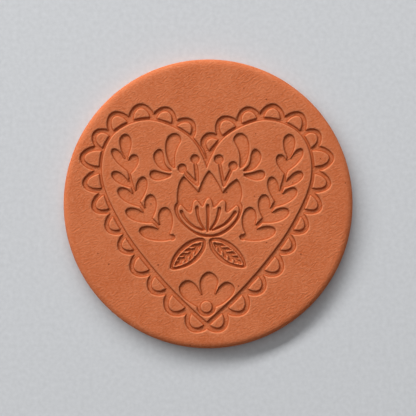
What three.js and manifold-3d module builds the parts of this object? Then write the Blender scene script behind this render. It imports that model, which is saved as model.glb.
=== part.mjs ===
// A round clay disc with a folk heart pressed into its face.
// Millimetres, Z up. The origin is the centre of the flat underside, +X right, +Y to the top of the heart.
// The disc is one solid piece: everything on its face is pressed in to a single depth,
// and the raised figures inside the pressed areas are clay left standing at face level.

import * as THREE from 'three';
import { mergeVertices } from 'three/addons/utils/BufferGeometryUtils.js';
import Module from 'manifold-3d';

const wasm = await Module();
wasm.setup();

// Driving dimensions
const DISC_DIAMETER = 75;
const DISC_THICKNESS = 3.3;
const RIM_ROUND_WIDTH = 1.8;
const RIM_ROUND_HEIGHT = 1.3;
const FOOT_ROUND = 0.4;
const FACE_MARGIN = 0.8;
const PRESS_DEPTH = 0.5;
const HEART_LINE = 0.8;
const HEART_LINE_LOW = 1.2;
const LACE_BAND = 1.25;
const STEM_WIDTH = 1.0;
const FINE_WIDTH = 0.85;
const SLOT_FOOT_WIDTH = 0.55;
const BLADE_RIM = 0.3;
const VEIN_WIDTH = 0.8;
const CHORD_ERROR = 0.045;
const DISC_SIDES = 96;

const DISC_RADIUS = DISC_DIAMETER / 2;
const FLOOR = DISC_THICKNESS - PRESS_DEPTH;

// The figures are drawn for a picture of this radius, then sized to leave the plain margin inside the rim.
// The picture lies a little off the centre of the disc, its heart and lace a little more than its figures.
const DRAWN_RADIUS = 34.9;
const PICTURE_SCALE = (DISC_RADIUS - RIM_ROUND_WIDTH - FACE_MARGIN) / DRAWN_RADIUS;
const FIGURES_SHIFT = [-0.16, 0.16];
const BORDER_SHIFT = [-0.32, 0.2];

// Outlines

const drawn = (length) => length * PICTURE_SCALE;
const point = ([x, y]) => new THREE.Vector2(drawn(x), drawn(y));
const mirror = (loop) => loop.map((p) => new THREE.Vector2(-p.x, p.y)).reverse();

// A smooth curve through a few points, kept to as many straight steps as its bends need.
function smooth(points) {
  const curve = new THREE.CatmullRomCurve3(points.map(point).map((p) => new THREE.Vector3(p.x, p.y, 0)));
  const dense = curve.getPoints(points.length * 12).map((p) => new THREE.Vector2(p.x, p.y));
  return thin(dense);
}

function thin(line) {
  const first = line[0];
  const last = line[line.length - 1];
  const along = last.clone().sub(first).normalize();
  let worst = 0;
  let at = 0;
  for (let i = 1; i < line.length - 1; i += 1) {
    const away = Math.abs(along.cross(line[i].clone().sub(first)));
    if (away > worst) {
      worst = away;
      at = i;
    }
  }
  if (worst <= CHORD_ERROR) return [first, last];
  return [...thin(line.slice(0, at + 1)).slice(0, -1), ...thin(line.slice(at))];
}

// A closed outline of smooth runs that meet in corners. Each run starts where the one before it ends.
function outline(...runs) {
  return runs.flatMap((run) => smooth(run).slice(0, -1));
}

function circle(centre, drawnRadius) {
  const radius = drawn(drawnRadius);
  const sides = Math.ceil(Math.PI / Math.acos(1 - CHORD_ERROR / radius));
  return Array.from({ length: sides }, (_, i) => {
    const turn = (i / sides) * Math.PI * 2;
    return point(centre).add(new THREE.Vector2(Math.cos(turn), Math.sin(turn)).multiplyScalar(radius));
  });
}

// A drop: pointed at its foot, round at its head. Fullness near 0 makes it an ellipse.
function drop(foot, head, drawnWidth, fullness = 1) {
  const from = point(foot);
  const axis = point(head).sub(from);
  const side = new THREE.Vector2(-axis.y, axis.x).normalize();
  const across = (turn) => Math.sin(turn) * Math.sin(turn / 2) ** fullness;
  const steps = Array.from({ length: 97 }, (_, i) => (i / 96) * Math.PI * 2);
  const share = drawn(drawnWidth) / 2 / Math.max(...steps.slice(0, 49).map(across));
  const edge = steps.map((turn) => {
    const along = (1 - Math.cos(turn)) / 2;
    const out = Math.sign(Math.PI - turn) * Math.abs(across(turn)) * share;
    return from.clone().addScaledVector(axis, along).addScaledVector(side, out);
  });
  return [...thin(edge.slice(0, 49)).slice(0, -1), ...thin(edge.slice(48)).slice(0, -1)];
}

// A stroke of the given width along a smooth line, with round ends.
function stroke(points, startWidth, endWidth = startWidth) {
  const line = smooth(points);
  const left = [];
  const right = [];
  const normals = line.map((p, i) => {
    const before = line[Math.max(i - 1, 0)];
    const after = line[Math.min(i + 1, line.length - 1)];
    const along = after.clone().sub(before).normalize();
    return new THREE.Vector2(-along.y, along.x);
  });
  line.forEach((p, i) => {
    const half = (startWidth + ((endWidth - startWidth) * i) / (line.length - 1)) / 2;
    left.push(p.clone().addScaledVector(normals[i], half));
    right.push(p.clone().addScaledVector(normals[i], -half));
  });
  const cap = (centre, normal, half) => [1, 2, 3].map((i) => {
    const turned = normal.clone().rotateAround(new THREE.Vector2(), (-i * Math.PI) / 4);
    return centre.clone().addScaledVector(turned, half);
  });
  const ends = line.length - 1;
  const back = normals[0].clone().negate();
  return [
    ...left,
    ...cap(line[ends], normals[ends], endWidth / 2),
    ...right.reverse(),
    ...cap(line[0], back, startWidth / 2),
  ];
}

// A closed outline moved outward (or inward, with a negative distance). It runs anticlockwise.
function grown(loop, distance) {
  return loop.map((p, i) => {
    const before = loop[(i + loop.length - 1) % loop.length];
    const after = loop[(i + 1) % loop.length];
    const arrive = p.clone().sub(before).normalize();
    const leave = after.clone().sub(p).normalize();
    const out = new THREE.Vector2(arrive.y + leave.y, -arrive.x - leave.x).normalize();
    const reach = distance / Math.max(out.x * leave.y - out.y * leave.x, 0.3);
    return p.clone().addScaledVector(out, reach);
  });
}

// Solids

function toManifold(geometry) {
  const bare = geometry.index ? geometry.toNonIndexed() : geometry;
  bare.deleteAttribute('normal');
  bare.deleteAttribute('uv');
  const merged = mergeVertices(bare, 1e-5);
  return new wasm.Manifold(new wasm.Mesh({
    numProp: 3,
    vertProperties: new Float32Array(merged.attributes.position.array),
    triVerts: new Uint32Array(merged.index.array),
  }));
}

function toGeometry(solid) {
  const mesh = solid.getMesh();
  const geometry = new THREE.BufferGeometry();
  geometry.setAttribute('position', new THREE.BufferAttribute(new Float32Array(mesh.vertProperties), 3));
  geometry.setIndex(new THREE.BufferAttribute(new Uint32Array(mesh.triVerts), 1));
  const shaded = geometry.toNonIndexed();
  shaded.computeVertexNormals();
  return shaded;
}

// A punch of the given outline, from the pressed floor up past the face.
function punch(loop) {
  const shape = new THREE.Shape(loop);
  const geometry = new THREE.ExtrudeGeometry(shape, { depth: PRESS_DEPTH + 1, bevelEnabled: false });
  geometry.translate(0, 0, FLOOR);
  return toManifold(geometry);
}

const joined = (solids) => solids.reduce((sum, solid) => sum.add(solid));
const punches = (loops) => joined(loops.map(punch));
const bothSides = (loops) => [...loops, ...loops.map(mirror)];

function discBlank() {
  const arc = (centreX, centreZ, wide, high, fromTurn, toTurn, steps) => (
    Array.from({ length: steps + 1 }, (_, i) => {
      const turn = fromTurn + ((toTurn - fromTurn) * i) / steps;
      return new THREE.Vector2(centreX + wide * Math.cos(turn), centreZ + high * Math.sin(turn));
    })
  );
  const profile = [
    new THREE.Vector2(0, 0),
    ...arc(DISC_RADIUS - FOOT_ROUND, FOOT_ROUND, FOOT_ROUND, FOOT_ROUND, -Math.PI / 2, 0, 3),
    ...arc(
      DISC_RADIUS - RIM_ROUND_WIDTH,
      DISC_THICKNESS - RIM_ROUND_HEIGHT,
      RIM_ROUND_WIDTH,
      RIM_ROUND_HEIGHT,
      0,
      Math.PI / 2,
      7,
    ),
    new THREE.Vector2(0, DISC_THICKNESS),
  ];
  const geometry = new THREE.LatheGeometry(profile, DISC_SIDES);
  geometry.rotateX(Math.PI / 2);
  return toManifold(geometry);
}

// The heart and its lace border

const heartRight = smooth([
  [0, 9], [0.9, 11.3], [1.75, 13.1], [2.8, 14.95], [4.85, 17.2], [8.75, 19.6], [13.4, 21.2], [15.9, 21.35],
  [20, 20.4], [23.9, 17.9], [26.05, 14.5], [27, 10.7], [26.95, 6.6], [25.5, 1.6], [21.35, -6.5],
  [17.25, -12.5], [8.9, -22.3], [0, -30.7],
]);

// The heart's line widens down its sides, between these heights.
const LINE_HIGH_Y = 10;
const LINE_LOW_Y = -5;

// The right half of the heart moved outward by the line's width, cut off and closed on the mirror line.
function linedOutline() {
  const moved = heartRight.map((p, i) => {
    const before = heartRight[Math.max(i - 1, 0)];
    const after = heartRight[Math.min(i + 1, heartRight.length - 1)];
    const along = after.clone().sub(before).normalize();
    const share = THREE.MathUtils.smoothstep(p.y, drawn(LINE_LOW_Y), drawn(LINE_HIGH_Y));
    const width = THREE.MathUtils.lerp(HEART_LINE_LOW, HEART_LINE, share);
    return new THREE.Vector2(p.x - along.y * width, p.y + along.x * width);
  });
  const first = moved.findIndex((p) => p.x > 0);
  const onAxis = (a, b) => new THREE.Vector2(0, a.y + ((b.y - a.y) * -a.x) / (b.x - a.x));
  const top = onAxis(moved[first - 1], moved[first]);
  const ends = moved.length - 1;
  const tip = onAxis(moved[ends - 1], moved[ends]);
  const right = moved.slice(first);
  return [top, ...right, tip, ...mirror(right)];
}

const heart = [...heartRight, ...mirror(heartRight).slice(1, -1)];

// The inward corners between scallops on the right half, from the cleft round to the tip.
const corners = [
  [7.75, 21.45], [13.7, 23.15], [20.2, 22.4], [25.6, 18.9], [29.1, 14.75], [29.3, 8.35], [28.05, 2.6],
  [25.2, -2.7], [21.6, -7.9], [18.9, -13.3], [14.75, -18.7], [10.7, -23.7], [5.45, -28.75], [0, -32.6],
];
// Heights, and the moon's half width and foot, are shares of the distance between the two corners.
const SCALLOP_HEIGHTS = [0.42, 0.445, 0.49, 0.45, 0.575, 0.6, 0.57, 0.51, 0.49, 0.49, 0.425, 0.42, 0.43];
const CLEFT_SCALLOP_HEIGHT = 0.46;
const MOON_HALF = 0.31;
const MOON_FOOT = 0.12;
const CLEFT_CORNER_LEFT = [-3.3, 17];
const CLEFT_CORNER_RIGHT = [2.4, 17.9];

// Each scallop is an arch over two corners, with a smaller arch inside it for the raised moon.
// Both reach back under the heart's line.
function scallop(from, to, height) {
  const start = point(from);
  const chord = start.distanceTo(point(to));
  const along = point(to).sub(start).divideScalar(chord);
  const out = new THREE.Vector2(-along.y, along.x);
  const middle = start.clone().addScaledVector(along, chord / 2);
  const place = (u, v) => middle.clone().addScaledVector(along, u).addScaledVector(out, v);
  const arch = (halfWidth, foot, rise, bend) => thin(Array.from({ length: 41 }, (_, i) => {
    const turn = (i / 40) * Math.PI;
    return place(-halfWidth * Math.cos(turn), foot + rise * Math.abs(Math.sin(turn)) ** bend);
  }));
  const base = (halfWidth, depth) => [place(halfWidth, -depth), place(-halfWidth, -depth)];
  const rise = chord * height;
  const moonHalf = chord * MOON_HALF;
  const moonFoot = chord * MOON_FOOT;
  return {
    pocket: [...arch(chord / 2, 0, rise, 1.5), ...base(chord * 0.4, chord * 0.1)],
    moon: [
      ...arch(moonHalf, -moonFoot, rise - LACE_BAND + moonFoot, 1.2),
      ...base(moonHalf, moonFoot + chord * 0.25),
    ],
  };
}

const mirrored = ({ pocket, moon }) => ({ pocket: mirror(pocket), moon: mirror(moon) });
const scallopsRight = corners.slice(1).map((corner, i) => scallop(corners[i], corner, SCALLOP_HEIGHTS[i]));
const scallops = [
  scallop(CLEFT_CORNER_RIGHT, corners[0], CLEFT_SCALLOP_HEIGHT),
  mirrored(scallop([-CLEFT_CORNER_LEFT[0], CLEFT_CORNER_LEFT[1]], corners[0], CLEFT_SCALLOP_HEIGHT)),
  ...scallopsRight,
  ...scallopsRight.map(mirrored),
];

// The lace has one more scallop on the right, leaning into the cleft.
const CLEFT_SCALLOP = { centre: [1, 15.6], radius: 2.6 };
const cleftTail = [
  [-1.5, 15.2], [-1.05, 14.2], [-0.5, 12.6], [0, 11], [1.75, 13.55], [1.9, 15.2],
].map(point);
const cleftMoon = outline(
  [[2.8, 16.3], [1.25, 16.7], [0, 16], [-0.1, 15.15], [0.65, 13.65]],
  [[0.65, 13.65], [2.8, 16.3]],
);

const laceBase = [
  CLEFT_CORNER_RIGHT,
  [1.9, 11.5],
  [0, 5],
  [-2.5, 11],
  CLEFT_CORNER_LEFT,
  ...corners.map(([x, y]) => [-x, y]),
  ...corners.slice(0, -1).reverse(),
].map(point);

function border() {
  const linedHeart = punch(linedOutline());
  const pockets = scallops.map(({ pocket }) => pocket);
  const moons = scallops.map(({ moon }) => moon);
  return punches([laceBase, ...pockets, circle(CLEFT_SCALLOP.centre, CLEFT_SCALLOP.radius), cleftTail])
    .subtract(punches([...moons, cleftMoon]))
    .add(linedHeart)
    .subtract(punch(heart));
}

// Figures inside the heart, given for the right half where the left one is its mirror image

const SPRIG_STEM = [
  [21, 11.9], [20.45, 8.2], [19.65, 5.1], [18.65, 2.05], [17.05, -0.85], [15.1, -3.5], [13.3, -5.4],
  [11.25, -7.3], [9.2, -8.9],
];
const sprig = [
  drop([21, 10.8], [21.25, 17.85], 3.15, 1.2),
  drop([20.1, 7.85], [24.55, 14], 2.45),
  drop([20.5, 6.95], [18.55, 12.55], 2.7),
  drop([19.25, 3.9], [24.65, 7.9], 2.6),
  drop([18.05, -0.35], [16.45, 6.8], 2.9, 0.8),
  drop([17.15, -1.05], [23.05, 3.7], 3, 0.9),
  drop([14.7, -4.4], [14.7, 2.25], 3.2, 0.6),
  drop([13.8, -5.05], [21.1, -1.9], 3.1, 0.8),
  drop([9, -9.25], [17.65, -6.95], 3.4, 0.6),
  drop([10.35, -8.6], [11.15, -1.05], 3.8, 0.5),
  circle([9.1, -8.85], 0.8),
  stroke(SPRIG_STEM, STEM_WIDTH),
];

const buds = [
  outline(
    [
      [8.5, 8.95], [9.5, 9.6], [10.35, 11.3], [10.85, 13.7], [10.75, 15.7], [10.1, 17.25], [8.65, 18.1],
      [7.3, 17.6], [6.75, 16.3], [7.35, 15], [8.05, 13.45], [8.35, 11.65], [8.3, 9.3],
    ],
    [[8.3, 9.3], [8.5, 8.95]],
  ),
  outline(
    [
      [9.25, 8.2], [10.75, 8.25], [12.55, 9.2], [13.75, 11], [13.95, 12.35], [13.25, 13.6], [12.3, 14],
      [11.6, 13.45], [11.2, 12.2], [11.05, 10.95], [10.45, 9.6], [9.25, 8.5],
    ],
    [[9.25, 8.5], [9.25, 8.2]],
  ),
  outline(
    [
      [9.4, 7.55], [12.05, 8.05], [13.85, 8.5], [14.8, 8], [14.9, 7], [14.2, 6.15], [12.9, 5.85],
      [10.9, 6.3], [9.5, 6.95],
    ],
    [[9.5, 6.95], [9.4, 7.55]],
  ),
];

const stamens = [
  circle([-6.5, 9], 1.18),
  circle([-3.2, 11.4], 1.18),
  stroke([[-6.5, 9], [-2.6, 4.85]], FINE_WIDTH),
  stroke([[-3.3, 11.4], [-2.6, 4.85]], FINE_WIDTH),
  circle([2.95, 11.3], 1.25),
  circle([6.65, 9.65], 1.18),
  stroke([[3, 11.3], [4.25, 4.65]], FINE_WIDTH),
  stroke([[6.65, 9.65], [4.25, 4.65]], FINE_WIDTH),
];

// The tulip is pressed in, with a raised fan low in it and narrow slots pressed into the fan.
const tulip = outline(
  [[-7.75, 0.2], [-7.85, 1.9], [-7.65, 3.6], [-7.1, 5.75], [-6.1, 6.95]],
  [[-6.1, 6.95], [-5.2, 6.05], [-3.7, 4.6], [-2.35, 3]],
  [[-2.35, 3], [-1.85, 4.45], [-1.2, 5.95], [-0.35, 7.5], [0.45, 8.4]],
  [[0.45, 8.4], [1.25, 7.6], [2.3, 6.1], [3.3, 4.4], [4, 2.8]],
  [[4, 2.8], [4.9, 3.8], [6.25, 5.35], [7.6, 6.2]],
  [[7.6, 6.2], [8.3, 5.45], [8.8, 4], [9, 2.2], [8.6, 0.3]],
  [
    [8.6, 0.3], [9.05, -0.5], [9.05, -1.6], [8.4, -3.6], [7.3, -5.35], [5.55, -7.1], [3.25, -8.4],
    [0.9, -8.85], [-0.85, -8.75], [-2.5, -8.3], [-4.3, -7.25], [-6.25, -5.65], [-7.65, -4.1],
    [-8.3, -2.7], [-8.55, -1.25], [-8.3, -0.35], [-7.75, 0.2],
  ],
);
const fan = outline(
  [
    [-7.6, -1.5], [-7.05, -0.45], [-6.1, -1.2], [-5.2, -2.15], [-4.35, -2.45], [-3.95, -1.6], [-3.6, 0.3],
    [-3, 0.8], [-2.35, 0.2], [-1.3, -0.95], [-0.85, -0.3], [-0.4, 0.75], [0.3, 1.4], [0.95, 0.7],
    [1.6, -1.1], [2.45, -0.6], [3.3, 0.4], [4, 0.75], [4.65, 0.1], [4.6, -1.9], [5, -2.45],
    [6.6, -1.3], [7.5, -0.6], [8.1, -1.45], [7.8, -3.2], [7.1, -4.45], [5.55, -6.1], [3.85, -7.3],
    [1.4, -8.15], [-0.9, -8.05], [-3.2, -7.3], [-4.95, -6.1], [-6.5, -4.5], [-7.35, -2.9], [-7.6, -1.5],
  ],
);
const slots = [
  [[-6.7, -2.2], [-6, -3.6], [-4.75, -5.1], [-2.9, -6.4], [-1.2, -7]],
  [[-2.7, -1.1], [-2.55, -2.8], [-1.95, -4.9], [-0.7, -6.9]],
  [[0.1, -0.7], [0.15, -3.8], [0.05, -7.25]],
  [[3.15, -1.4], [2.8, -3], [2.1, -4.95], [0.75, -6.9]],
  [[7.2, -2.4], [6.05, -3.95], [4.45, -5.5], [1.3, -7]],
].map((line) => stroke(line, FINE_WIDTH, SLOT_FOOT_WIDTH));

// A pair of leaves under the tulip: a groove round a raised blade with a pressed rib and side veins.
// The right one stands a little higher than the left one, turned about its stalk.
const leafGroove = outline(
  [
    [0.5, -9.65], [0.45, -10.35], [0.55, -11.55], [1.3, -13.05], [2.45, -14.55], [4.15, -15.85],
    [6.1, -16.7], [7.6, -17.1], [9, -17.25], [9.7, -16.8],
  ],
  [
    [9.7, -16.8], [9.4, -15.3], [8.6, -13.5], [7.35, -11.85], [6, -10.6], [4.3, -9.6], [2.6, -9.05],
    [1, -9.1], [0.5, -9.65],
  ],
);
const blade = outline(
  [
    [1.2, -9.9], [1.4, -11.15], [2, -12.35], [3.05, -13.6], [4.05, -14.6], [5.3, -15.5], [6.9, -16.2],
    [8.9, -16.65],
  ],
  [
    [8.9, -16.65], [8.8, -15.95], [8.25, -14.65], [7.5, -13.5], [6.35, -12.3], [5.1, -11.3], [3.9, -10.5],
    [2.7, -9.95], [1.2, -9.9],
  ],
);
const STALK = [0.5, -9.6];
const RIGHT_LEAF_TURN = THREE.MathUtils.degToRad(3.3);
const MIDRIB = [[1.8, -10.6], [3.7, -12.25], [5.1, -13.5], [6.5, -14.6], [8.2, -15.9]];
const VEIN_PAIRS = 5;
// Shares of the rib that are bare before the first vein and after the last one above it.
// The veins below it start half a step before those above.
const BARE_START = 0.07;
const BARE_END = 0.09;
const VEIN_REACH = 4;

function leafPair(loops) {
  const turned = (loop) => loop.map((p) => p.clone().rotateAround(point(STALK), RIGHT_LEAF_TURN));
  return punches([...loops.map(turned), ...loops.map(mirror)]);
}

function veins() {
  const rib = new THREE.SplineCurve(MIDRIB.map(([x, y]) => new THREE.Vector2(x, y)));
  const step = (1 - BARE_START - BARE_END) / (VEIN_PAIRS - 1);
  const loops = [stroke(MIDRIB, VEIN_WIDTH)];
  for (let i = 0; i < VEIN_PAIRS; i += 1) {
    const above = rib.getPointAt(BARE_START + step * i);
    const below = rib.getPointAt(Math.max(0, BARE_START + step * (i - 0.5)));
    loops.push(stroke([[above.x, above.y], [above.x + VEIN_REACH, above.y]], VEIN_WIDTH));
    loops.push(stroke([[below.x, below.y], [below.x, below.y - VEIN_REACH]], VEIN_WIDTH));
  }
  return leafPair([grown(blade, -BLADE_RIM)]).intersect(leafPair(loops));
}

const flower = outline(
  [
    [-2.6, -26.9], [-4.7, -25.6], [-6.15, -24.6], [-7.1, -23.2], [-7.3, -21.75], [-6.45, -20.5],
    [-5, -19.95], [-3.45, -20.65], [-2.4, -21.9], [-1.5, -23.6],
  ],
  [
    [-1.5, -23.6], [-1.9, -22], [-1.95, -20.3], [-1.35, -18.8], [0.3, -17.75], [2.2, -18.75],
    [2.85, -20.1], [2.4, -22], [2, -23.4],
  ],
  [
    [2, -23.4], [3.25, -21.4], [4.9, -20.4], [6.5, -21], [7.1, -22.2], [6.6, -23.6], [5.65, -24.7],
    [4.05, -26], [1.95, -26.95],
  ],
  [[1.95, -26.95], [-2.6, -26.9]],
);
const FLOWER_BASE = { centre: [-0.3, -26.8], radius: 2.5 };
const BEAD_RADIUS = 1.45;

function figures() {
  const plain = punches([...bothSides([...sprig, ...buds]), ...stamens]);
  const flowerHead = punches([tulip]).subtract(punch(fan)).add(punches(slots));
  const leaves = leafPair([leafGroove]).subtract(leafPair([blade])).add(veins());
  const lowFlower = punches([flower, circle(FLOWER_BASE.centre, FLOWER_BASE.radius)])
    .subtract(punch(circle(FLOWER_BASE.centre, BEAD_RADIUS)));
  return joined([plain, flowerHead, leaves, lowFlower]);
}

const clay = new THREE.MeshStandardMaterial({ color: 0xc46d46, roughness: 0.7, metalness: 0 });

const shifted = (solid, [x, y]) => solid.translate([drawn(x), drawn(y), 0]);
const picture = shifted(border(), BORDER_SHIFT).add(shifted(figures(), FIGURES_SHIFT));
const disc = new THREE.Mesh(toGeometry(discBlank().subtract(picture)), clay);
disc.name = 'clay_disc';

const group = new THREE.Group();
group.name = 'pressed_clay_disc';
group.add(disc);

export default group;
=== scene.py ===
"""The looks of the pressed clay disc: relief, rim, clay finish, table, light and camera."""

import math

import bmesh
import bpy
import numpy as np
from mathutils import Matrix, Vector, geometry, kdtree, noise


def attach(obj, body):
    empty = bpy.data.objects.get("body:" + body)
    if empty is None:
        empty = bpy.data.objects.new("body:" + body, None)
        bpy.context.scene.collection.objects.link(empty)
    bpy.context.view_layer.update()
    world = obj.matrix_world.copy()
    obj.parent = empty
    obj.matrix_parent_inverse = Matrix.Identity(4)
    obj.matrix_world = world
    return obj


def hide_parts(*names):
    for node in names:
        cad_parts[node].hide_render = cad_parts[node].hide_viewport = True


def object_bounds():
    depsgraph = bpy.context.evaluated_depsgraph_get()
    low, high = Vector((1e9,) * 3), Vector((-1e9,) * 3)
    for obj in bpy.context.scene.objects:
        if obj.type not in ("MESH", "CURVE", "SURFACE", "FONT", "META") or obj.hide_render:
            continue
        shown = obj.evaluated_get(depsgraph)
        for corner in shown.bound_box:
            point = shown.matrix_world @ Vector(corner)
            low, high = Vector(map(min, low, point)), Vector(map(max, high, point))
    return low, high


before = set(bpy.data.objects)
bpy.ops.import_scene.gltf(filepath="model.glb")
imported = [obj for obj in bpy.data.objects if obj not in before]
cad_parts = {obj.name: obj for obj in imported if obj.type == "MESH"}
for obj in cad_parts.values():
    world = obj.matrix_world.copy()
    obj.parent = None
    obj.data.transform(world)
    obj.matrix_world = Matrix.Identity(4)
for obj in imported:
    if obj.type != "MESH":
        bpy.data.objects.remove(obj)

MM = 0.001

cad_low, cad_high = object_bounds()
plain_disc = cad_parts["clay_disc"]
RADIUS = cad_high.x
THICKNESS = cad_high.z

# The pressed relief: each wall falls from LIP outside its outline to WALL inside it.
PRESS_DEPTH = 0.5 * MM
LIP = 0.22 * MM
WALL = 0.12 * MM

# Painted tones along the walls: a painted shade at each wall's foot, and paler lips that are partly wear
# and partly a painted highlight. For each, how far inside the outline it is strongest, and how far it
# reaches.
CREVICE_SHADE_AT = 0.14 * MM
CREVICE_SHADE_REACH = 0.14 * MM
WORN_HIGHLIGHT_AT = -0.17 * MM
WORN_HIGHLIGHT_REACH = 0.15 * MM

# The slab: FOOT rounds the lower edge, and the face's own mesh ends SHOULDER in from the side.
RIM_WIDTH = 2.6 * MM
RIM_HEIGHT = 1.4 * MM
RIM_FULLNESS = 3
SHOULDER = 1.6 * MM
FOOT = 0.4 * MM
SWELL = 0.012 * MM
SWELL_LENGTH = 6 * MM
SWELL_FADE = 2 * MM

# How the solid's mesh is read: a face is flat if its normal rises above FLAT_NORMAL, and part of an
# upright wall if it stays below WALL_NORMAL.
SAME_POINT = 0.001 * MM
SAME_LEVEL = 0.01 * MM
FLAT_NORMAL = 0.99
WALL_NORMAL = 0.1

# How the outlines are smoothed: a point is a corner above CORNER_TURN and a sharp tip above TIP_TURN.
# A curve's handle is a third of its hop, or of HANDLE_LIMIT times the hop beside it if that is less.
CROWDED = 0.06 * MM
STEP_ALONG = 0.27 * MM
DRAFT_STEPS = 3
CORNER_TURN = math.radians(50)
TIP_TURN = math.radians(140)
HANDLE_LIMIT = 1.5

# Rows of mesh points beside the outlines
OUTER_ROW = 0.12 * MM
WALL_ROWS = (0, 0.2, 0.4, 0.55, 0.7, 0.85, 1)
FLOOR_ROWS = (0.1 * MM, 0.25 * MM, 0.45 * MM)
FAN_SHARES = (0, 0.25, 0.5, 0.75, 1)
MITRE_LIMIT = 0.3
ROW_ERROR = 0.02 * MM
CLOSEST = 0.035 * MM
NEAREST = 4

# Mesh points on the flats, and how far they keep from the rows and from the face's edge
FACE_STEP = 0.8 * MM
CLEAR_OF_LIP = 0.35 * MM
CLEAR_OF_WALL = 0.7 * MM
CLEAR_OF_EDGE = 0.4 * FACE_STEP
SAME_CORNER_MM = 1e-5
SMOOTH_ROUNDS = 2
SMOOTH_SHARE = 0.3

# Mesh steps round and down the rim
RIM_SIDES = 288
SHOULDER_STEPS = 14
SIDE_SHARES = (0.66, 0.33)
FOOT_STEPS = 5
UNDERSIDE_INSET = 1 * MM


# Outlines of the pressed areas, read from the frame


def flat_face_loops(solid, level):
    """Closed rings of points where the flat face drops into a pressed area, with the face on their left."""
    bm = bmesh.new()
    bm.from_mesh(solid.data)
    bmesh.ops.remove_doubles(bm, verts=bm.verts, dist=SAME_POINT)
    bm.normal_update()
    following = {}
    for face in bm.faces:
        if face.normal.z < FLAT_NORMAL or abs(face.calc_center_median().z - level) > SAME_LEVEL:
            continue
        for loop in face.loops:
            if abs(loop.link_loop_radial_next.face.normal.z) < WALL_NORMAL:
                following.setdefault(loop.vert.index, []).append(loop.link_loop_next.vert.index)
    bm.verts.ensure_lookup_table()
    places = {i: bm.verts[i].co.to_2d() for i in following}
    bm.free()
    rings = []
    while following:
        ring = []
        at = next(iter(following))
        while at in following:
            ring.append(places[at])
            ahead = following[at]
            at_next = ahead.pop()
            if not ahead:
                del following[at]
            at = at_next
        rings.append(ring)
    return rings


def without_crowding(ring):
    """The ring without the points that lie too close to the one before."""
    kept = [ring[0]]
    for p in ring[1:]:
        if (p - kept[-1]).length > CROWDED:
            kept.append(p)
    if (kept[-1] - kept[0]).length <= CROWDED:
        kept.pop()
    return kept


def turn_at(ring, i):
    """How sharply the ring turns at a point, as an angle."""
    arrive = ring[i] - ring[i - 1]
    leave = ring[(i + 1) % len(ring)] - ring[i]
    return abs(arrive.angle_signed(leave))


def run_headings(hops, closed):
    """The line's heading at each point: between those of its two hops, nearer to the shorter one's."""
    lengths = [h.length for h in hops]
    headings = [h.normalized() for h in hops]
    count = len(hops) if closed else len(hops) + 1
    tangents = [None] * count
    for i in range(count):
        if not closed and i in (0, count - 1):
            continue
        before, after = (i - 1) % len(hops), i % len(hops)
        mixed = headings[before] * lengths[after] + headings[after] * lengths[before]
        tangents[i] = mixed.normalized()
    # At an open end the heading mirrors the one beside it, so that the last hop curves evenly.
    if not closed:
        for end, inner, hop in ((0, 1, 0), (count - 1, count - 2, -1)):
            along = headings[hop]
            near = tangents[inner] or along
            tangents[end] = (2 * along.dot(near) * along - near).normalized()
    return tangents


def smooth_run(points, closed):
    """A smooth line through the points, with even steps."""
    count = len(points)
    hops = [points[(i + 1) % count] - points[i] for i in range(count if closed else count - 1)]
    lengths = [h.length for h in hops]
    tangents = run_headings(hops, closed)
    dense = []
    for i, hop in enumerate(hops):
        a, b = points[i], points[(i + 1) % count]
        # Beside a short hop the handle is short too, so that a long straight line stays straight.
        before = lengths[i - 1] if closed or i else hop.length
        after = lengths[(i + 1) % len(hops)] if closed or i + 1 < len(hops) else hop.length
        leave, arrive = (min(hop.length, HANDLE_LIMIT * beside) / 3 for beside in (before, after))
        handles = a + tangents[i] * leave, b - tangents[(i + 1) % count] * arrive
        pieces = max(2, math.ceil(hop.length / STEP_ALONG * DRAFT_STEPS) + 1)
        dense += [p.to_2d() for p in geometry.interpolate_bezier(a, *handles, b, pieces)[:-1]]
    dense.append(points[0] if closed else points[-1])
    walked = np.concatenate([[0], np.cumsum([(q - p).length for p, q in zip(dense, dense[1:])])])
    steps = max(1, round(walked[-1] / STEP_ALONG))
    even = np.linspace(0, walked[-1], steps + 1)
    xy = np.array([tuple(p) for p in dense])
    return np.stack([np.interp(even, walked, xy[:, k]) for k in (0, 1)], axis=1)


def smooth_ring(ring):
    """The ring as points with even steps along smooth runs, and which of the points are corners."""
    corners = [i for i in range(len(ring)) if turn_at(ring, i) > CORNER_TURN]
    # A sharp tip's last stretch stays straight on both sides, so that the sides can't cross.
    tips = [i for i in corners if turn_at(ring, i) > TIP_TURN]
    beside_tips = [(i + way) % len(ring) for i in tips for way in (-1, 1)]
    corners = sorted({*corners, *beside_tips})
    if not corners:
        line = smooth_run(ring, closed=True)[:-1]
        return line, np.zeros(len(line), bool)
    lines, marks = [], []
    for first, last in zip(corners, corners[1:] + [corners[0] + len(ring)]):
        run = [ring[i % len(ring)] for i in range(first, last + 1)]
        line = smooth_run(run, closed=False)[:-1]
        lines.append(line)
        marks.append(np.arange(len(line)) == 0)
    return np.concatenate(lines), np.concatenate(marks)


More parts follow.
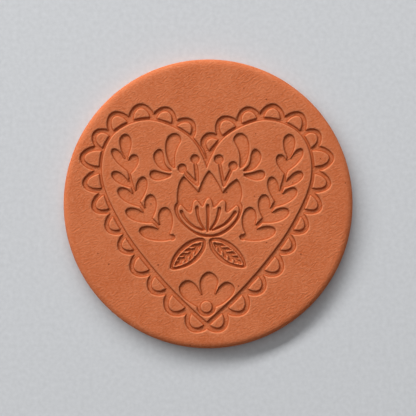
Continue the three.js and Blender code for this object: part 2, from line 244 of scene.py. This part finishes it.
class Relief:
    """Every pressed outline, with how far inside it any place on the face lies."""

    def __init__(self, rings):
        smoothed = [smooth_ring(without_crowding(ring)) for ring in rings]
        self.at = np.concatenate([points for points, _ in smoothed])
        self.corner = np.concatenate([marks for _, marks in smoothed])
        sizes = [len(points) for points, _ in smoothed]
        starts = np.cumsum([0] + sizes[:-1])
        self.next = np.concatenate([s + np.roll(np.arange(n), -1) for s, n in zip(starts, sizes)])
        self.last = np.concatenate([s + np.roll(np.arange(n), 1) for s, n in zip(starts, sizes)])
        hops = self.at[self.next] - self.at
        headings = hops / np.linalg.norm(hops, axis=1, keepdims=True)
        self.inward = np.stack([headings[:, 1], -headings[:, 0]], axis=1)
        self.tree = kdtree.KDTree(len(self.at))
        for i, (x, y) in enumerate(self.at):
            self.tree.insert((x, y, 0), i)
        self.tree.balance()

    def depth_into(self, places):
        """Signed distance from each place to the nearest outline: positive in the pressed area."""
        near = np.array([[i for _, i, _ in self.tree.find_n((x, y, 0), NEAREST)] for x, y in places])
        best = np.full(len(places), np.inf)
        sign = np.ones(len(places))
        for column in np.concatenate([near, self.last[near]], axis=1).T:
            start, end = self.at[column], self.at[self.next[column]]
            hop = end - start
            share = np.sum((places - start) * hop, axis=1) / np.sum(hop * hop, axis=1)
            share = np.clip(share, 0, 1)
            offset = places - start - hop * share[:, None]
            away = np.linalg.norm(offset, axis=1)
            # At a corner both of its sides say together on which side a place lies.
            before = np.where((share <= 0)[:, None], self.inward[self.last[column]], self.inward[column])
            after = np.where((share >= 1)[:, None], self.inward[self.next[column]], self.inward[column])
            side = np.sum(offset * (before + after), axis=1)
            closer = away < best
            sign = np.where(closer, np.where(side >= 0, 1, -1), sign)
            best = np.where(closer, away, best)
        return best * sign

    def rows(self, offsets):
        """Points in rows beside the outlines, fanned round the corners."""
        before, after = self.inward[self.last], self.inward
        middle = before + after
        middle /= np.linalg.norm(middle, axis=1, keepdims=True)
        stretch = 1 / np.maximum(np.sum(middle * after, axis=1), MITRE_LIMIT)
        found = []
        for offset in offsets:
            row = self.at + middle * (offset * stretch)[:, None]
            found.append((row, offset))
            for share in FAN_SHARES:
                fan = before * (1 - share) + after * share
                fan /= np.linalg.norm(fan, axis=1, keepdims=True)
                found.append(((self.at + fan * offset)[self.corner], offset))
        kept = []
        for row, offset in found:
            true = self.depth_into(row)
            kept.append(row[np.abs(true - offset) < ROW_ERROR])
        return np.concatenate(kept)


# The face


def spread_out(places, least):
    """The places in order, leaving out each one that is too close to one already kept."""
    cells = {}
    kept = []
    for x, y in places:
        cx, cy = math.floor(x / least), math.floor(y / least)
        close = (
            other
            for dx in (-1, 0, 1)
            for dy in (-1, 0, 1)
            for other in cells.get((cx + dx, cy + dy), ())
        )
        if any((x - ox) ** 2 + (y - oy) ** 2 < least * least for ox, oy in close):
            continue
        cells.setdefault((cx, cy), []).append((x, y))
        kept.append((x, y))
    return np.array(kept)


def face_places(relief, face_radius):
    """Where the face has its mesh points: dense beside the outlines, sparse on the flats."""
    offsets = [-LIP - OUTER_ROW]
    offsets += [-LIP + (LIP + WALL) * share for share in WALL_ROWS]
    offsets += [WALL + row for row in FLOOR_ROWS]
    rows = relief.rows(offsets)
    steps = math.ceil(face_radius / FACE_STEP)
    column, line = np.meshgrid(np.arange(-steps, steps + 1), np.arange(-steps, steps + 1))
    grid = np.stack([(column + 0.5 * (line % 2)).ravel(), line.ravel()], axis=1) * FACE_STEP
    grid = grid[np.linalg.norm(grid, axis=1) < face_radius - CLEAR_OF_EDGE]
    clear = relief.depth_into(grid)
    grid = grid[(clear < -LIP - CLEAR_OF_LIP) | (clear > WALL + CLEAR_OF_WALL)]
    return np.concatenate([spread_out(rows, CLOSEST), grid])


def pressed(inside):
    """How deep the clay is pressed at a signed distance inside an outline: soft lip, firm foot."""
    share = np.clip((inside + LIP) / (LIP + WALL), 0, 1)
    return PRESS_DEPTH * share**2 * (1.5 - 0.5 * share)


def band(inside, centre, reach):
    """How much a place belongs to a soft band beside the outlines, from 0 to 1."""
    return np.exp(-(((inside - centre) / reach) ** 2))


def swell(x, y):
    """The slow unevenness of a rolled slab, never above its flat height."""
    return SWELL * (noise.noise(Vector((x, y, 0)) / SWELL_LENGTH) - 1)


def rim_drop(inset):
    """How far the soft rim lies below the flat face, at a distance in from the edge."""
    share = np.clip(1 - inset / RIM_WIDTH, 0, 1)
    return RIM_HEIGHT * (1 - np.sqrt(1 - share**RIM_FULLNESS))


def build_face(relief, face_radius):
    """The pressed face as an open mesh, with its painted shade at the walls' feet and its paler lips,
    partly wear and partly painted highlight, as attributes.
    """
    places = face_places(relief, face_radius)
    around = np.arange(RIM_SIDES) / RIM_SIDES * 2 * math.pi
    rim = face_radius * np.stack([np.cos(around), np.sin(around)], axis=1)
    flat = [Vector(p) / MM for p in np.concatenate([rim, places])]
    corners, _, triangles, *_ = geometry.delaunay_2d_cdt(flat, [], [], 0, SAME_CORNER_MM)
    flat = np.array([tuple(p) for p in corners]) * MM
    inside = relief.depth_into(flat)
    sunk = pressed(inside) + rim_drop(RADIUS - np.linalg.norm(flat, axis=1))
    bm = bmesh.new()
    # Two painted tones ride on the mesh: a painted shade at each wall's foot, and paler lips that are
    # partly wear and partly painted highlight.
    painted_crevice_shade = bm.verts.layers.float.new("painted_crevice_shade")
    worn_edge_and_highlight = bm.verts.layers.float.new("worn_edge_and_highlight")
    # Painted shade: a darker clay tone at the foot of every wall, in the recess.
    crevice_shade_share = band(inside, CREVICE_SHADE_AT, CREVICE_SHADE_REACH)
    # Paler lips: partly rubbed wear, partly a painted highlight.
    lip = band(inside, WORN_HIGHLIGHT_AT, WORN_HIGHLIGHT_REACH)
    verts = []
    for (x, y), down, deep, worn_and_lit in zip(flat, sunk, crevice_shade_share, lip):
        fade = min(1, max(0, (face_radius - math.hypot(x, y)) / SWELL_FADE))
        vert = bm.verts.new((x, y, THICKNESS - down + swell(x, y) * fade))
        vert[painted_crevice_shade] = deep
        vert[worn_edge_and_highlight] = worn_and_lit
        verts.append(vert)
    for a, b, c in triangles:
        bm.faces.new((verts[a], verts[b], verts[c]))
    bm.normal_update()
    if sum(f.normal.z for f in bm.faces) < 0:
        bmesh.ops.reverse_faces(bm, faces=bm.faces)
    inner = [v for v in bm.verts if not v.is_boundary]
    for _ in range(SMOOTH_ROUNDS):
        bmesh.ops.smooth_vert(bm, verts=inner, factor=SMOOTH_SHARE, use_axis_z=True)
    return bm


# The rim and the underside


def quarter_turn(steps):
    """Even angles from 0 to a right angle."""
    return [i / steps * math.pi / 2 for i in range(steps + 1)]


def rim_profile():
    """Radius and height down the side of the slab, from the edge of the face's mesh to the underside."""
    insets = [SHOULDER * (1 - math.sin(t)) for t in quarter_turn(SHOULDER_STEPS)[1:]]
    shoulder = [(RADIUS - inset, THICKNESS - rim_drop(inset)) for inset in insets]
    side = [(RADIUS, FOOT + (THICKNESS - RIM_HEIGHT - FOOT) * share) for share in SIDE_SHARES]
    foot = [
        (RADIUS - FOOT * (1 - math.cos(t)), FOOT * (1 - math.sin(t))) for t in quarter_turn(FOOT_STEPS)
    ]
    return shoulder + side + foot


def close_slab(bm):
    """Carries the face's edge down the rim and closes the underside."""
    edge = [e for e in bm.edges if e.is_boundary]
    for radius, height in rim_profile():
        grown = bmesh.ops.extrude_edge_only(bm, edges=edge)["geom"]
        edge = [g for g in grown if isinstance(g, bmesh.types.BMEdge)]
        for vert in (g for g in grown if isinstance(g, bmesh.types.BMVert)):
            out = vert.co.to_2d().normalized() * radius
            vert.co = (out.x, out.y, height)
    bottom = bmesh.ops.edgeloop_fill(bm, edges=edge)["faces"]
    bmesh.ops.inset_region(bm, faces=bottom, thickness=UNDERSIDE_INSET)
    bmesh.ops.recalc_face_normals(bm, faces=bm.faces)


def build_disc():
    """The whole slab as one closed mesh."""
    relief = Relief(flat_face_loops(plain_disc, THICKNESS))
    bm = build_face(relief, RADIUS - SHOULDER)
    close_slab(bm)
    mesh = bpy.data.meshes.new("stamped_slab")
    bm.to_mesh(mesh)
    bm.free()
    mesh.shade_smooth()
    disc = bpy.data.objects.new("stamped_slab", mesh)
    bpy.context.scene.collection.objects.link(disc)
    return disc


# Finishes


def linear(*srgb):
    """A colour given as 0 to 255 screen values, as the shader's linear values."""
    return tuple(
        (c / 255 / 12.92 if c / 255 <= 0.04045 else ((c / 255 + 0.055) / 1.055) ** 2.4) for c in srgb
    ) + (1,)


class Finish:
    """A material with its nodes added one call at a time."""

    def __init__(self, name):
        self.material = bpy.data.materials.new(name)
        self.material.use_nodes = True
        self.tree = self.material.node_tree
        self.shader = self.tree.nodes["Principled BSDF"]

    def node(self, kind, inputs=(), **settings):
        """Adds a node with its settings and with what goes into its sockets."""
        made = self.tree.nodes.new("ShaderNode" + kind)
        for name, value in settings.items():
            setattr(made, name, value)
        for socket, value in dict(inputs).items():
            self.join(value, made.inputs[socket])
        return made

    def join(self, value, socket):
        """Puts a number or colour on a socket, or links another socket to it."""
        if isinstance(value, bpy.types.NodeSocket):
            self.tree.links.new(value, socket)
        else:
            socket.default_value = value

    def set(self, **inputs):
        """Does the same for the material's shader, with underscores for the spaces in names."""
        for name, value in inputs.items():
            self.join(value, self.shader.inputs[name.replace("_", " ")])

    def noise(self, place, scale, detail, roughness=0.5):
        inputs = {"Vector": place, "Scale": scale, "Detail": detail, "Roughness": roughness}
        return self.node("TexNoise", inputs).outputs["Fac"]

    def share(self, value, limits, most=1):
        """Goes from 0 to the most while the value goes from the first limit to the second."""
        inputs = {"Value": value, "From Min": limits[0], "From Max": limits[1], "To Max": most}
        return self.node("MapRange", inputs).outputs["Result"]

    def blend(self, value, limits, first, second):
        """Goes from the first colour to the second while the value goes between the limits."""
        tone = self.node("ValToRGB", {"Fac": value})
        for element, limit, colour in zip(tone.color_ramp.elements, limits, (first, second)):
            element.position = limit
            element.color = linear(*colour)
        return tone.outputs["Color"]

    def cover(self, base, colour, share):
        """Lays a colour over the base, as strongly as the share says."""
        inputs = {"Fac": share, "Color1": base, "Color2": linear(*colour)}
        return self.node("MixRGB", inputs).outputs["Color"]


# Colours are screen values, and the scale of a pattern counts its features per metre.
CLAY = (196, 106, 64)
CLAY_BLOTCH = (189, 98, 56)
CLAY_FIBRE = (216, 142, 104)
# Painted shade: the dark colour of each small pit.
CLAY_PIT_SHADE = (112, 46, 20)
# Painted shade: the darker clay tone at the foot of each wall.
CLAY_CREVICE_SHADE = (162, 70, 27)
# Paler lips: partly wear, partly painted highlight.
CLAY_WORN_HIGHLIGHT = (195, 120, 82)
CLAY_ROUGHNESS = 0.6
CLAY_SHINE = 0.06

BLOTCH_SCALE = 160
BLOTCH_DETAIL = 4
BLOTCH_LIMITS = (0.35, 0.65)

GRAIN_HEADING = math.radians(35)
GRAIN_STRETCH = 2.0
GRAIN_SCALE = 2800
GRAIN_DETAIL = 2
GRAIN_ROUGHNESS = 0.6
GRAIN_HEIGHT = 0.18 * MM
FIBRE_LIMITS = (0.4, 0.8)
FIBRE_MOST = 0.5

# Each cell draws a random value: it has no pit below the first draw limit and a full one above the second.
# Each pit is a dark dot of painted shade, with no hollow in the mesh.
PIT_SCALE = 330
PIT_DRAW_LIMITS = (0.55, 0.72)
PIT_EDGE_LIMITS = (0.09, 0.035)


def clay_finish():
    """Baked clay: slow blotches, combed grain, scattered pits with painted shade, painted shade at the
    walls' feet, and paler lips that are partly wear and partly painted highlight.
    """
    clay = Finish("baked_clay")
    place = clay.node("TexCoord").outputs["Object"]
    turned = {"Vector": place, "Rotation": (0, 0, GRAIN_HEADING), "Scale": (GRAIN_STRETCH, 1, 1)}
    combed = clay.node("Mapping", turned, vector_type="TEXTURE").outputs["Vector"]

    blotch = clay.noise(place, BLOTCH_SCALE, BLOTCH_DETAIL)
    colour = clay.blend(blotch, BLOTCH_LIMITS, CLAY_BLOTCH, CLAY)

    grain = clay.noise(combed, GRAIN_SCALE, GRAIN_DETAIL, GRAIN_ROUGHNESS)
    colour = clay.cover(colour, CLAY_FIBRE, clay.share(grain, FIBRE_LIMITS, FIBRE_MOST))

    cells = clay.node("TexVoronoi", {"Vector": place, "Scale": PIT_SCALE}).outputs
    drawn = clay.share(cells["Color"], PIT_DRAW_LIMITS)
    round_pit_shade = clay.share(cells["Distance"], PIT_EDGE_LIMITS)
    pit_shade = clay.node("Math", {0: drawn, 1: round_pit_shade}, operation="MULTIPLY").outputs["Value"]
    colour = clay.cover(colour, CLAY_PIT_SHADE, pit_shade)

    # Painted shade at each wall's foot, then paler lips that are partly wear and partly painted highlight.
    for name, tone in (("painted_crevice_shade", CLAY_CREVICE_SHADE), ("worn_edge_and_highlight", CLAY_WORN_HIGHLIGHT)):
        share = clay.node("Attribute", attribute_name=name).outputs["Fac"]
        colour = clay.cover(colour, tone, share)

    bump = clay.node("Bump", {"Height": grain, "Strength": 1.0, "Distance": GRAIN_HEIGHT})
    clay.set(Base_Color=colour, Normal=bump.outputs["Normal"])
    clay.set(Roughness=CLAY_ROUGHNESS, Specular_IOR_Level=CLAY_SHINE)
    return clay.material


TABLE_DEEP = (194, 196, 199)
TABLE_PALE = (204, 206, 209)
TABLE_ROUGHNESS = 0.9
TABLE_SHINE = 0.1
MOTTLE_SCALE = 900
MOTTLE_DETAIL = 3
MOTTLE_LIMITS = (0.25, 0.75)


def table_finish():
    """A pale grey table with a fine, faint mottle."""
    table = Finish("pale_table")
    place = table.node("TexCoord").outputs["Object"]
    mottle = table.noise(place, MOTTLE_SCALE, MOTTLE_DETAIL)
    table.set(Base_Color=table.blend(mottle, MOTTLE_LIMITS, TABLE_DEEP, TABLE_PALE))
    table.set(Roughness=TABLE_ROUGHNESS, Specular_IOR_Level=TABLE_SHINE)
    return table.material


# Stage

TABLE_SIZE = 6.0
TABLE_GAP = 0.02 * MM

# Both windows stand on one heading. Their distance and sizes are in metres, their power in watts.
LAMP_DISTANCE = 1.7
LAMP_HEADING = math.radians(118)
LOW_WINDOW = {"elevation": math.radians(28), "width": 4.0, "height": 0.36, "power": 60}
HIGH_WINDOW = {"elevation": math.radians(62), "width": 4.2, "height": 4.2, "power": 22}
FILL_COLOUR = (1, 1, 1, 1)
FILL = 0.08
BACKDROP = linear(201, 203, 206)


def lay_table(material):
    """A flat table just under the disc, so that the two surfaces don't meet."""
    bm = bmesh.new()
    bmesh.ops.create_grid(bm, x_segments=1, y_segments=1, size=TABLE_SIZE / 2)
    bmesh.ops.translate(bm, verts=bm.verts, vec=(0, 0, -TABLE_GAP))
    mesh = bpy.data.meshes.new("table")
    bm.to_mesh(mesh)
    bm.free()
    mesh.materials.append(material)
    table = bpy.data.objects.new("table", mesh)
    bpy.context.scene.collection.objects.link(table)


def hang_window(name, elevation, width, height, power):
    """A soft oval light that faces the disc."""
    flat = math.cos(elevation)
    toward = Vector((math.cos(LAMP_HEADING) * flat, math.sin(LAMP_HEADING) * flat, math.sin(elevation)))
    lamp = bpy.data.lights.new(name, "AREA")
    lamp.shape = "ELLIPSE"
    lamp.size = width
    lamp.size_y = height
    lamp.energy = power
    window = bpy.data.objects.new(name, lamp)
    window.location = toward * LAMP_DISTANCE
    window.rotation_euler = toward.to_track_quat("Z", "Y").to_euler()
    window.visible_camera = False
    bpy.context.scene.collection.objects.link(window)


def dress_room():
    """A weak even fill on every surface, and a pale backdrop that is seen straight, mirrored or through."""
    world = bpy.data.worlds.new("room")
    bpy.context.scene.world = world
    world.use_nodes = True
    nodes, links = world.node_tree.nodes, world.node_tree.links
    nodes.clear()
    rays = nodes.new("ShaderNodeLightPath").outputs
    seen = rays["Is Camera Ray"]
    for kind in ("Is Glossy Ray", "Is Transmission Ray"):
        either = nodes.new("ShaderNodeMath")
        either.operation = "MAXIMUM"
        links.new(seen, either.inputs[0])
        links.new(rays[kind], either.inputs[1])
        seen = either.outputs[0]
    mix = nodes.new("ShaderNodeMixShader")
    links.new(seen, mix.inputs[0])
    for socket, colour, strength in ((1, FILL_COLOUR, FILL), (2, BACKDROP, 1)):
        glow = nodes.new("ShaderNodeBackground")
        glow.inputs["Color"].default_value = colour
        glow.inputs["Strength"].default_value = strength
        links.new(glow.outputs[0], mix.inputs[socket])
    out = nodes.new("ShaderNodeOutputWorld")
    links.new(mix.outputs[0], out.inputs["Surface"])


# The photo is 416 pixels wide and high, and the disc's radius and centre in it are given in pixels.
PHOTO = 416
DISC_PIXELS = 144.45
DISC_CENTRE = (208.1, 203.9)
LENS = 100
NEAREST_SEEN = 10 * MM


def place_camera():
    """Straight above, where the widest part of the rim has the photo's size and place."""
    pixel = RADIUS / DISC_PIXELS
    camera_data = bpy.data.cameras.new("camera")
    camera_data.lens = LENS
    camera_data.clip_start = NEAREST_SEEN
    camera = bpy.data.objects.new("camera", camera_data)
    distance = PHOTO * pixel * LENS / camera_data.sensor_width
    camera.location = (
        (PHOTO / 2 - DISC_CENTRE[0]) * pixel,
        (DISC_CENTRE[1] - PHOTO / 2) * pixel,
        distance + THICKNESS - RIM_HEIGHT,
    )
    bpy.context.scene.collection.objects.link(camera)
    bpy.context.scene.camera = camera


disc = build_disc()
disc.data.materials.append(clay_finish())
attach(disc, "root")
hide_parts("clay_disc")

lay_table(table_finish())
hang_window("low_window", **LOW_WINDOW)
hang_window("high_window", **HIGH_WINDOW)
dress_room()
place_camera()
bpy.context.scene.view_settings.view_transform = "Standard"
